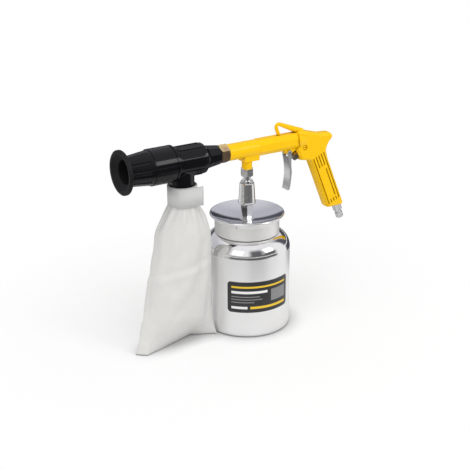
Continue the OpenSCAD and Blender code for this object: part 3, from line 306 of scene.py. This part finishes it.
paint = new_finish("golden yellow powder coat", (0.93, 0.55, 0.006), 0.0, 0.30,
                   Specular_IOR_Level=0.14, Coat_Weight=0.05, Coat_Roughness=0.15)
# Painted shade: the coat's colour darkens towards a brown where the body's own corners and grooves close in.
open_air = wire(paint, "AmbientOcclusion", out="AO", only_local=True, samples=8, Distance=CORNER_REACH)
clear_of_painted_shade = between(paint, open_air, 0.0, 1.0, CORNER_DEEPEST, CORNER_CLEAR)
coat = mix_colours(paint, grain(paint, 45.0, 3.0), COAT_LIGHT, COAT_WARM)
feed(paint,
     Base_Color=mix_colours(paint, clear_of_painted_shade, PAINTED_CORNER_SHADE, coat),
     Roughness=between(paint, grain(paint, 180.0, 3.0), 0.22, 0.36),
     Normal=relief(paint, 0.05, MARK_DEEP, grain(paint, 900.0)))
dress(paint, "gun_body", "blast_tee", "side_screw")

brass = new_finish("turned brass", (0.72, 0.52, 0.20), 1.0, 0.24)
feed(brass, Roughness=between(brass, grain(brass, 300.0, 3.0), 0.18, 0.34))
dress(brass, "air_jet")
dress(steel, "blast_nozzle", "inlet_nipple")


# Trigger and valve: a plated sheet steel trigger on a cross pin, which pushes a steel stem and its
# spring into the body. The cap that holds them is yellow passivated and screwed in at a slant.
TINT_START, TINT_END = 0.35, 0.65


def passivated_zinc(name, olive, brown):
    """Yellow passivated plating, which shimmers from olive to brown."""
    finish = new_finish(name, olive, 1.0, 0.22)
    tint = between(finish, grain(finish, 130.0, 3.0), 0.0, 1.0, TINT_START, TINT_END)
    feed(finish,
         Base_Color=mix_colours(finish, tint, olive, brown),
         Roughness=between(finish, grain(finish, 240.0, 4.0), 0.14, 0.30))
    return finish


pressed = new_finish("plated pressing", (0.74, 0.74, 0.745), 0.8, 0.24)
feed(pressed,
     Base_Color=mix_colours(pressed, grain(pressed, 80.0, 4.0), (0.76, 0.76, 0.765), (0.66, 0.66, 0.67)),
     Roughness=between(pressed, grain(pressed, 150.0, 4.0), 0.18, 0.30))
dress(pressed, "trigger")
dress(steel, "trigger_pin", "valve_stem")
dress(passivated_zinc("passivated valve cap", (0.52, 0.44, 0.31), (0.36, 0.28, 0.19)), "valve_cap")

valve_coil = merged_copy("valve_spring", "valve_coil", steel)
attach(valve_coil, "gun")
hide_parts("valve_spring")
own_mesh(valve_coil)


# Nozzle nut: a hexagon nut in yellow passivated steel that clamps the nozzle's flange on the tee. It
# is shown as it stands when tight, a twelfth of a turn round the barrel from where the solid has it.
BARREL_Z, NUT_TURN = 0.2167, math.radians(30.0)

nut_zinc = passivated_zinc("passivated nozzle nut", (0.68, 0.52, 0.25), (0.46, 0.30, 0.20))
tightened_nut = merged_copy("nozzle_nut", "tightened_nut", nut_zinc)
barrel_line = Matrix.Translation((0.0, 0.0, BARREL_Z))
tightened_nut.data.transform(barrel_line @ Matrix.Rotation(NUT_TURN, 4, "X") @ barrel_line.inverted())
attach(tightened_nut, "gun")
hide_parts("nozzle_nut")


# Recovery head: a moulded black housing with a branch and a fluted sleeve, in satin plastic with a
# fine moulded skin. It sits on the nozzle by a rubber bush and ends in a rubber mouth.
plastic = new_finish("moulded black plastic", (0.007, 0.007, 0.008), 0.0, 0.24, Specular_IOR_Level=0.2)
moulded_tone = mix_colours(plastic, grain(plastic, 70.0, 4.0), (0.003, 0.003, 0.004), (0.006, 0.006, 0.008))
feed(plastic,
     Base_Color=moulded_tone,
     Roughness=between(plastic, grain(plastic, 120.0, 4.0), 0.08, 0.16),
     Normal=relief(plastic, 0.05, SKIN_DEEP, grain(plastic, 2400.0)))
dress(plastic, "head_housing", "head_sleeve")
dress(rubber, "head_bush", "mouth_flange")


# Recovery bag: two panels of off-white cotton sewn down both sides and gathered on the branch. It
# hangs slack with its foot on the bench, the left corner drawn forward and the right one tucked in.
PANEL_WIDE, PANEL_LONG = 0.108, 0.19
BAG_ROUND = 2 * PANEL_WIDE
BAG_AXIS_X, BRANCH_LOW = -0.0868, 0.1677
BAG_TOP, BAG_FOOT = 0.1902, 0.0006
BAG_NECK, BAG_HALF = 0.0159, 0.0190
BAG_RIGHT, BAG_FOOT_LEFT = -0.0541, -0.1585
BAG_SHOULDER_Z, BAG_SHOULDER_LEFT = 0.1290, -0.1234
SIDE_BOW, NECK_BOW, LENS_POINT = 0.82, 1.5, 1.25
FOOT_RISE, FOOT_KICK = 0.036, 0.0025
RIGHT_LEAN, TIP_LEAN = 0.006, 0.0095
# How far back the two sides of the foot lie on the bench, from the right corner to the left one.
FOOT_FRONT = ((0.0, -0.014), (0.27, 0.0014), (0.905, -0.019), (1.0, -0.0095))
FOOT_BACK = ((0.0, -0.014), (0.12, 0.0), (0.45, 0.0133), (0.85, 0.00475), (1.0, -0.0095))
BAG_SIDES, BAG_ROWS = 180, 132
HEM_RISE, FOOT_BAND, HEM_WELD = 0.0006, 0.001, 0.00002
# Share, count round the neck and start of the two rows of gathers.
PLEATS = ((0.6, 9, 0.6), (0.4, 14, 2.1))
GATHER, GATHER_Z, GATHER_ABOVE, GATHER_BELOW = 0.0016, 0.1570, 0.011, 0.024
CREASE, CREASE_LEFT_Z, CREASE_RIGHT_Z, CREASE_WIDE = 0.0017, 0.0870, 0.0995, 0.0042
CREASE_MIDDLE, CREASE_REACH = 0.55, 0.5
SLACK, SLACK_ROUND, SLACK_UP = 0.0022, 2.3, 16.0
CROSS_SLACK, CROSS_ROUND, CROSS_LEAN, CROSS_UP, CROSS_START = 0.0012, 3.1, 26.0, 48.0, 4.0
SLACK_TOP, SLACK_FADE = 0.162, 0.02


def along(table, share):
    """A value read off a short table of points, straight between them."""
    for (start, low), (end, high) in zip(table, table[1:]):
        if share <= end:
            return low + (high - low) * (share - start) / (end - start)
    return table[-1][1]


def mix(one, other, share):
    """A number between two others."""
    return one + (other - one) * share


def clamped(value):
    """A number kept from 0 to 1."""
    return min(1.0, max(0.0, value))


def from_right(turn):
    """How far a point of a ring lies from the bag's right edge to its left one, 0 to 1."""
    return (1.0 - math.cos(turn)) / 2


def bag_point(turn, z):
    """A point of the hanging bag: lens-shaped rings from the wavy foot up to the round neck."""
    low = min(1.0, z / BAG_SHOULDER_Z)
    draw = clamped((z - BAG_SHOULDER_Z) / (BRANCH_LOW - BAG_SHOULDER_Z)) ** NECK_BOW
    wave = max(0.0, 1.0 - z / FOOT_RISE) ** 2
    share = from_right(turn)
    left = mix(mix(BAG_FOOT_LEFT, BAG_SHOULDER_LEFT, low ** SIDE_BOW), BAG_AXIS_X - BAG_NECK, draw)
    right = mix(BAG_RIGHT + FOOT_KICK * wave, BAG_AXIS_X + BAG_NECK, draw)
    thick = mix(mix(BAG_HALF / 2, BAG_HALF, math.sin(math.pi / 2 * low)), BAG_NECK, draw)
    lean = mix(RIGHT_LEAN, TIP_LEAN * (1.0 - low), share) * (1.0 - draw)
    face = math.copysign(abs(math.sin(turn)) ** mix(LENS_POINT, 1.0, draw), math.sin(turn))
    flat = along(FOOT_FRONT if math.sin(turn) < 0 else FOOT_BACK, share)
    return Vector((mix(right, left, share), mix(thick * face - lean, flat, wave), z))


def out_of(turn, z):
    """The way out of the bag's unfolded face at a point."""
    step = 0.001
    round_it = bag_point(turn + step, z) - bag_point(turn - step, z)
    up_it = bag_point(turn, min(BAG_TOP, z + step)) - bag_point(turn, max(BAG_FOOT, z - step))
    return round_it.cross(up_it).normalized()


def hump(value, middle, width):
    """1 at the middle, falling away on both sides."""
    return math.exp(-(((value - middle) / width) ** 2))


def folds(turn, z):
    """How far the slack cloth stands out: gathers below the strap, one cross crease, slack wrinkles."""
    share = from_right(turn)
    pleat = sum(part * math.sin(count * turn + start) for part, count, start in PLEATS)
    gathers = GATHER * pleat * hump(z, GATHER_Z, GATHER_ABOVE if z > GATHER_Z else GATHER_BELOW)
    under = (z - mix(CREASE_RIGHT_Z, CREASE_LEFT_Z, share)) / CREASE_WIDE
    crease = -CREASE * under * math.exp(-(under ** 2) / 2) * hump(share, CREASE_MIDDLE, CREASE_REACH)
    ring = Vector((math.cos(turn), math.sin(turn), 0.0))
    long_wrinkle = noise.noise(ring * SLACK_ROUND + Vector((0.0, 0.0, z * SLACK_UP)))
    cross_wrinkle = noise.noise(ring * CROSS_ROUND + Vector((CROSS_START, z * CROSS_LEAN, z * CROSS_UP)))
    loose = min(1.0, z / SLACK_FADE) * clamped((SLACK_TOP - z) / SLACK_FADE)
    return gathers + crease + loose * (SLACK * long_wrinkle + CROSS_SLACK * cross_wrinkle)


cloth = bmesh.new()
bmesh.ops.create_cone(cloth, cap_ends=False, segments=BAG_SIDES, radius1=1.0, radius2=1.0, depth=1.0)
upright = [edge for edge in cloth.edges if abs(edge.verts[0].co.z - edge.verts[1].co.z) > 0.5]
bmesh.ops.subdivide_edges(cloth, edges=upright, cuts=BAG_ROWS)
cut_cloth = cloth.loops.layers.uv.new("cut cloth")
for face in cloth.faces:
    middle = math.atan2(face.calc_center_median().y, face.calc_center_median().x)
    for loop in face.loops:
        turn = math.atan2(loop.vert.co.y, loop.vert.co.x)
        turn += 2 * math.pi * round((middle - turn) / (2 * math.pi))
        loop[cut_cloth].uv = (BAG_ROUND * (turn / (2 * math.pi) + 0.5),
                              (BAG_TOP - BAG_FOOT) * (loop.vert.co.z + 0.5))
for vert in cloth.verts:
    turn = math.atan2(vert.co.y, vert.co.x)
    z = mix(BAG_FOOT, BAG_TOP, vert.co.z + 0.5)
    vert.co = bag_point(turn, z) + out_of(turn, z) * folds(turn, z)
foot = [edge for edge in cloth.edges if edge.is_boundary and edge.verts[0].co.z < BAG_FOOT + FOOT_BAND]
grown = bmesh.ops.extrude_edge_only(cloth, edges=foot)["geom"]
foot_right = BAG_RIGHT + FOOT_KICK
for vert in [part for part in grown if isinstance(part, bmesh.types.BMVert)]:
    share = clamped((foot_right - vert.co.x) / (foot_right - BAG_FOOT_LEFT))
    vert.co.y = (along(FOOT_FRONT, share) + along(FOOT_BACK, share)) / 2
    vert.co.z = BAG_FOOT + HEM_RISE
bmesh.ops.remove_doubles(cloth, verts=cloth.verts, dist=HEM_WELD)
bmesh.ops.recalc_face_normals(cloth, faces=cloth.faces)
for face in cloth.faces:
    face.smooth = True

COTTON_PALE, COTTON_GREY, THREAD_TONE = (0.705, 0.70, 0.68), (0.65, 0.644, 0.624), (0.40, 0.39, 0.36)
WEAVE_FINE, WEAVE_WANDER = 520.0, 1.2
SEAM_WIDE, THREAD, STITCH_STEP, STITCH_SHARE = 0.0032, 0.0003, 0.0030, 0.72
cotton = new_finish("off-white cotton", (0.74, 0.735, 0.715), 0.0, 0.9,
                    Sheen_Weight=0.15, Sheen_Roughness=0.6, Specular_IOR_Level=0.2)
flat_cloth = wire(cotton, "UVMap", uv_map="cut cloth")
across = wire(cotton, "SeparateXYZ", out="X", Vector=flat_cloth)
upward = wire(cotton, "SeparateXYZ", out="Y", Vector=flat_cloth)
warp, weft = (wire(cotton, "TexWave", out="Fac", Vector=flat_cloth, bands_direction=way, Scale=WEAVE_FINE,
                   Distortion=WEAVE_WANDER, Detail=1.0) for way in "XY")
from_seam = reckon(cotton, "PINGPONG", across, BAG_ROUND / 4)
stitch_row = reckon(cotton, "COMPARE", from_seam, SEAM_WIDE, THREAD)
along_stitch = reckon(cotton, "FRACT", reckon(cotton, "DIVIDE", upward, STITCH_STEP))
stitches = reckon(cotton, "MULTIPLY", stitch_row, reckon(cotton, "LESS_THAN", along_stitch, STITCH_SHARE))
cloth_tone = mix_colours(cotton, grain(cotton, 60.0, 4.0), COTTON_PALE, COTTON_GREY)
feed(cotton,
     Base_Color=mix_colours(cotton, between(cotton, stitches, 0.0, 0.5), cloth_tone, THREAD_TONE),
     Normal=relief(cotton, 0.22, MARK_DEEP, reckon(cotton, "MAXIMUM", warp, weft)))
bag = show(cloth, "recovery_bag_cloth", cotton)
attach(bag, "gun")
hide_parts("recovery_bag")


# Bag strap: white hook-and-loop webbing wound once round the bag's neck on the branch, its loose
# end pressed over itself at the front.
STRAP_LOW, STRAP_HIGH = 0.1677, 0.1897
STRAP_START, STRAP_SWEEP, STRAP_STEPS = math.radians(-130.0), math.radians(400.0), 120
STRAP_INNER, STRAP_THICK = 0.0164, 0.0013
LAP_START, LAP_LONG, LAP_GAP = math.radians(310.0), math.radians(50.0), 0.0001
STRAP_TAIL, TAIL_DROP, TAIL_STEPS = 0.0165, 0.0006, 8

route = []
for step in range(STRAP_STEPS + 1):
    swept = STRAP_SWEEP * step / STRAP_STEPS
    turn = STRAP_START + swept
    radius = STRAP_INNER + (STRAP_THICK + LAP_GAP) * clamped((swept - LAP_START) / LAP_LONG) ** 2
    route.append((BAG_AXIS_X + radius * math.cos(turn), radius * math.sin(turn)))
for step in range(1, TAIL_STEPS + 1):
    out = step / TAIL_STEPS
    route.append((BAG_AXIS_X + STRAP_TAIL * out, route[STRAP_STEPS][1] - TAIL_DROP * out ** 2))

webbing = bmesh.new()
ends = [bmesh.ops.create_vert(webbing, co=(*route[0], z))["vert"][0] for z in (STRAP_LOW, STRAP_HIGH)]
edge = webbing.edges.new(ends)
for x, y in route[1:]:
    grown = bmesh.ops.extrude_edge_only(webbing, edges=[edge])["geom"]
    edge = next(part for part in grown if isinstance(part, bmesh.types.BMEdge)
                and all(vert in grown for vert in part.verts))
    for vert in edge.verts:
        vert.co.x, vert.co.y = x, y
for face in webbing.faces:
    face.smooth = True
bmesh.ops.recalc_face_normals(webbing, faces=webbing.faces)

strap_white = new_finish("white webbing", (0.57, 0.57, 0.565), 0.0, 0.85)
feed(strap_white, Normal=relief(strap_white, 0.3, MARK_DEEP, grain(strap_white, 1800.0)))
strap = show(webbing, "bag_strap_webbing", strap_white)
wall = strap.modifiers.new("webbing thickness", "SOLIDIFY")
wall.thickness = STRAP_THICK
wall.offset = 0.0
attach(strap, "gun")
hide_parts("bag_strap")


# Bench: a matt white table top in a white surround. It glows away to white round the object, and it
# keeps the object's shadow, with a soft shade painted into its colour where the pot and the bag touch it.
BENCH_HALF, BENCH_DROP = 12.0, 0.0002
BENCH_PALE, BENCH_SHADE = (0.90, 0.90, 0.90), (0.56, 0.56, 0.56)
BENCH_GLOW, GLOW_START, GLOW_END = 0.30, 0.13, 0.36
CONTACT_REACH, CONTACT_DEEPEST, CONTACT_CLEAR = 0.024, 0.45, 0.97
SURROUND_LIGHT = 0.58


def seen_directly(finish):
    """1 for rays that show the background itself: from the camera, in gloss or through glass."""
    paths = finish.node_tree.nodes.new("ShaderNodeLightPath").outputs
    gloss = reckon(finish, "MAXIMUM", paths["Is Glossy Ray"], paths["Is Transmission Ray"])
    return reckon(finish, "MAXIMUM", paths["Is Camera Ray"], gloss)


def surface_of(finish):
    """Where the material's finished surface goes in."""
    return finish.node_tree.nodes["Material Output"].inputs["Surface"]


bench_shape = bmesh.new()
bmesh.ops.create_grid(bench_shape, x_segments=1, y_segments=1, size=BENCH_HALF)
bmesh.ops.translate(bench_shape, verts=bench_shape.verts, vec=(0.0, 0.0, -BENCH_DROP))
bench_white = new_finish("white bench", BENCH_PALE, 0.0, 0.8, Specular_IOR_Level=0.0)
# Painted shade: the bench's colour darkens to a grey close under where the pot and the bag stand on it.
open_bench = wire(bench_white, "AmbientOcclusion", out="AO", samples=16, Distance=CONTACT_REACH)
clear_of_feet = between(bench_white, open_bench, 0.0, 1.0, CONTACT_DEEPEST, CONTACT_CLEAR)
feed(bench_white, Base_Color=mix_colours(bench_white, clear_of_feet, BENCH_SHADE, BENCH_PALE))
from_middle = wire(bench_white, "VectorMath", out="Value", operation="LENGTH",
                   _0=wire(bench_white, "TexCoord", out="Object"))
fade = between(bench_white, from_middle, BENCH_GLOW, 1.0, GLOW_START, GLOW_END)
glow_share = reckon(bench_white, "MULTIPLY", seen_directly(bench_white),
                    reckon(bench_white, "MULTIPLY", clear_of_feet, fade))
lit_bench = wire(bench_white, "MixShader", _0=glow_share, _1=shader_of(bench_white).outputs[0],
                 _2=wire(bench_white, "Emission"))
bench_white.node_tree.links.new(lit_bench, surface_of(bench_white))
bench = show(bench_shape, "bench", bench_white)

surround = bpy.data.worlds.new("white surround")
surround.use_nodes = True
bpy.context.scene.world = surround
sky = surround.node_tree.nodes["Background"]
sky.inputs["Color"].default_value = (1.0, 1.0, 1.0, 1.0)
sky_light = between(surround, seen_directly(surround), SURROUND_LIGHT, 1.0)
surround.node_tree.links.new(sky_light, sky.inputs["Strength"])


# Reflection tent: a dome of soft boxes and dark gaps with a floor round the object, and a white card
# laid behind the object to brighten the trigger. Only gloss shows them, so they light nothing else.
TENT_RADIUS, TENT_HOLE, TENT_FLOOR, TENT_SIDES = 3.0, 0.20, 0.003, 96
CAMERA_TURN = math.radians(-123.2)
SKYLINE_START, SKYLINE_END = 0.13, 0.17
BACK_RISE, BACK_START, BACK_FULL = 0.20, 120.0, 150.0
ZENITH, ZENITH_START, ZENITH_FULL = (0.92, 0.92, 0.95), 0.62, 0.85
FRONT_LEFT, FRONT_RIGHT = (-50.0, -40.0), (78.0, 88.0)
DARK_START, DARK_FULL, DARK_TONE = 0.36, 0.46, (0.13, 0.13, 0.135)
DARK_TOP_LEFT, DARK_TOP_RIGHT, DARK_TOP_STEP, DARK_TOP_BLEND = 0.16, 0.36, (40.0, 52.0), 0.04
CARD_PLACE, CARD_WIDE, CARD_GLOW = (-0.27, 0.56, 0.006), 0.40, (0.95, 0.95, 0.95, 1.0)


def grey(level, blue=0.0):
    """A grey, with a little more blue where the room is cool."""
    return (level, level, level * (1.0 + blue))


# Bearing from the camera's side in degrees, with the right of the picture positive, and its tone.
LOW_TONES = (
    (-179.0, grey(0.09, 0.2)), (-110.0, grey(0.12, 0.2)), (-96.0, grey(0.55)), (-50.0, grey(0.60)),
    (-40.0, grey(0.72)), (-4.0, grey(0.78)), (9.0, grey(0.15, 0.1)), (38.0, grey(0.14, 0.1)),
    (60.0, grey(0.95)), (118.0, grey(1.0)), (126.0, grey(0.08, 0.2)), (179.0, grey(0.05, 0.3)),
)
HIGH_TONES = (
    (-179.0, grey(0.66, 0.08)), (-112.0, grey(0.60, 0.08)), (-92.0, grey(0.50)), (-52.0, grey(0.50)),
    (-42.0, grey(0.98)), (2.0, grey(1.0)), (14.0, grey(0.15, 0.1)), (38.0, grey(0.14, 0.1)),
    (58.0, grey(1.0)), (114.0, grey(1.0)), (121.0, grey(0.10, 0.2)), (134.0, grey(0.12, 0.2)),
    (142.0, grey(0.84, 0.06)), (179.0, grey(0.62, 0.08)),
)


def tones(finish, bearing, stops):
    """Greys read off a row of stops right round the tent."""
    node = wire(finish, "ValToRGB", Fac=between(finish, bearing, 0.0, 1.0, -180.0, 180.0)).node
    marks = node.color_ramp.elements
    for place, colour in stops:
        mark = marks.new((place + 180.0) / 360.0)
        mark.color = (*colour, 1.0)
    marks.remove(marks[0])
    marks.remove(marks[len(marks) - 1])
    return node.outputs[0]


def gloss_screen(shape, name, finish, colour):
    """A glowing surface that nothing but gloss shows."""
    finish.node_tree.links.new(wire(finish, "Emission", Color=colour), surface_of(finish))
    finish.cycles.emission_sampling = "NONE"
    screen = show(shape, name, finish)
    screen.visible_camera = screen.visible_diffuse = screen.visible_shadow = False
    screen.visible_transmission = screen.visible_volume_scatter = False


tent_shape = bmesh.new()
bmesh.ops.create_uvsphere(tent_shape, u_segments=TENT_SIDES, v_segments=TENT_SIDES // 2, radius=TENT_RADIUS)
sunk = [vert for vert in tent_shape.verts if vert.co.z < TENT_FLOOR]
bmesh.ops.delete(tent_shape, geom=sunk, context="VERTS")
for radius in (TENT_RADIUS, TENT_HOLE):
    bmesh.ops.create_circle(tent_shape, segments=TENT_SIDES, radius=radius)
rings = [edge for edge in tent_shape.edges if edge.is_wire]
bmesh.ops.bridge_loops(tent_shape, edges=rings)
for vert in tent_shape.verts:
    vert.co.z = max(vert.co.z, TENT_FLOOR)

tent_tones = new_finish("soft boxes and dark gaps", (0.0, 0.0, 0.0), 0.0, 1.0)
turned_place = wire(tent_tones, "VectorRotate", Vector=wire(tent_tones, "TexCoord", out="Object"),
                    rotation_type="Z_AXIS", Angle=-CAMERA_TURN)
spread = wire(tent_tones, "SeparateXYZ", Vector=turned_place).node.outputs
bearing = between(tent_tones, reckon(tent_tones, "ARCTAN2", spread["Y"], spread["X"]),
                  -180.0, 180.0, -math.pi, math.pi)
rise = reckon(tent_tones, "DIVIDE", spread["Z"], TENT_RADIUS)
away = wire(tent_tones, "VectorMath", out="Value", operation="LENGTH", _0=turned_place)

skyline = between(tent_tones, reckon(tent_tones, "ABSOLUTE", bearing), 0.0, BACK_RISE, BACK_START, BACK_FULL)
above_skyline = between(tent_tones, reckon(tent_tones, "SUBTRACT", rise, skyline), 0.0, 1.0,
                        SKYLINE_START, SKYLINE_END)
walls = mix_colours(tent_tones, above_skyline, tones(tent_tones, bearing, LOW_TONES),
                    tones(tent_tones, bearing, HIGH_TONES))
overhead = between(tent_tones, rise, 0.0, 1.0, ZENITH_START, ZENITH_FULL)
room = mix_colours(tent_tones, overhead, walls, ZENITH)

# The dark of the room past the bench's front edge
in_front = reckon(tent_tones, "MULTIPLY", between(tent_tones, bearing, 0.0, 1.0, *FRONT_LEFT),
                  between(tent_tones, bearing, 1.0, 0.0, *FRONT_RIGHT))
past_bench = reckon(tent_tones, "MULTIPLY", in_front,
                    between(tent_tones, away, 0.0, 1.0, DARK_START, DARK_FULL))
dark_top = between(tent_tones, bearing, DARK_TOP_LEFT, DARK_TOP_RIGHT, *DARK_TOP_STEP)
below_top = between(tent_tones, reckon(tent_tones, "SUBTRACT", rise, dark_top), 1.0, 0.0,
                    -DARK_TOP_BLEND, DARK_TOP_BLEND)
dark_front = reckon(tent_tones, "MULTIPLY", past_bench, below_top)
gloss_screen(tent_shape, "reflection_tent", tent_tones,
             mix_colours(tent_tones, dark_front, room, DARK_TONE))

card_shape = bmesh.new()
bmesh.ops.create_grid(card_shape, x_segments=1, y_segments=1, size=CARD_WIDE / 2)
bmesh.ops.translate(card_shape, verts=card_shape.verts, vec=CARD_PLACE)
gloss_screen(card_shape, "white_card", new_finish("white card", (0.0, 0.0, 0.0), 0.0, 1.0), CARD_GLOW)


# Lamps and camera: one wide soft ceiling light, two soft boxes for the highlights, and a long lens
# at the photograph's viewing angle.
CEILING_PLACE, CEILING_POWER, CEILING_SPREAD = (-0.35, -0.40, 1.5), 1.15, math.radians(55.0)
# Name, place, width and power of each soft box.
SOFT_BOXES = (
    ("left soft box", (-1.25, -0.75, 0.95), 0.75, 2.9),
    ("right soft box", (0.75, -1.25, 1.05), 0.6, 6.0),
)
BOX_AIM, CAMERA_AIM = (0.0, 0.0, 0.12), (0.0, 0.0, 0.110)
CAMERA_PLACE = (-0.6623, -1.0130, 0.5846)
SENSOR_WIDE, LENS_LONG = 36.0, 83.88
SHIFT_X, SHIFT_Y = -0.0254, 0.0006


def stand(name, holder, place, target):
    """Stands a lamp or a camera at a place and turns it to a point."""
    stood = bpy.data.objects.new(name, holder)
    stood.location = place
    stood.rotation_euler = (Vector(target) - Vector(place)).to_track_quat("-Z", "Y").to_euler()
    bpy.context.scene.collection.objects.link(stood)
    return stood


ceiling = bpy.data.lights.new("ceiling light", "SUN")
ceiling.energy = CEILING_POWER
ceiling.angle = CEILING_SPREAD
stand("ceiling light", ceiling, CEILING_PLACE, (0.0, 0.0, 0.0))
for name, place, size, power in SOFT_BOXES:
    box = bpy.data.lights.new(name, "AREA")
    box.size = size
    box.energy = power
    stand(name, box, place, BOX_AIM)

lens = bpy.data.cameras.new("camera")
lens.sensor_width = SENSOR_WIDE
lens.lens = LENS_LONG
lens.shift_x = SHIFT_X
lens.shift_y = SHIFT_Y
bpy.context.scene.camera = stand("camera", lens, CAMERA_PLACE, CAMERA_AIM)
bpy.context.scene.view_settings.view_transform = "Standard"
